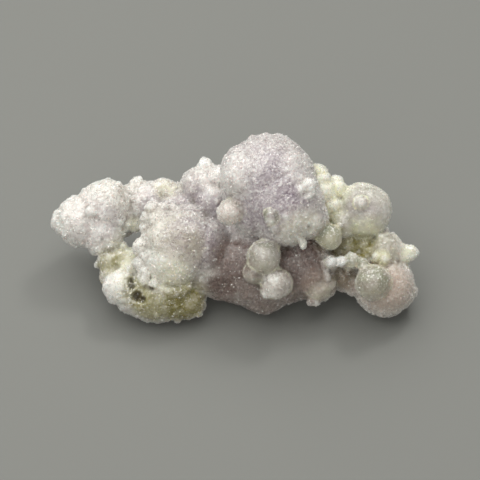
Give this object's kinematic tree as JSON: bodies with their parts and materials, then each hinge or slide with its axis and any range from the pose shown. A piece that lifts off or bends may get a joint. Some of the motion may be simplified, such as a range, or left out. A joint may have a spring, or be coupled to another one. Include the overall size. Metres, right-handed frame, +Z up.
{
  "type": "botryoidal chalcedony specimen",
  "caption": "Loose cluster of grape-like chalcedony lumps grown together, resting on low lumps with a big dome leaning over a knobbly body.",
  "frame": {"origin": "on the table under the middle of the specimen's box", "axes": "+X along the specimen, from the knobbly end lobe to the pointed end; +Y towards its back; +Z up"},
  "size_m": [0.05, 0.0217, 0.0216],
  "materials": {
    "chalcedony": "waxy translucent lilac-grey stone with a frosted skin of fine crystals"
  },
  "bodies": {
    "root": {"botryoidal_chalcedony": "chalcedony"}
  },
  "joints": []
}
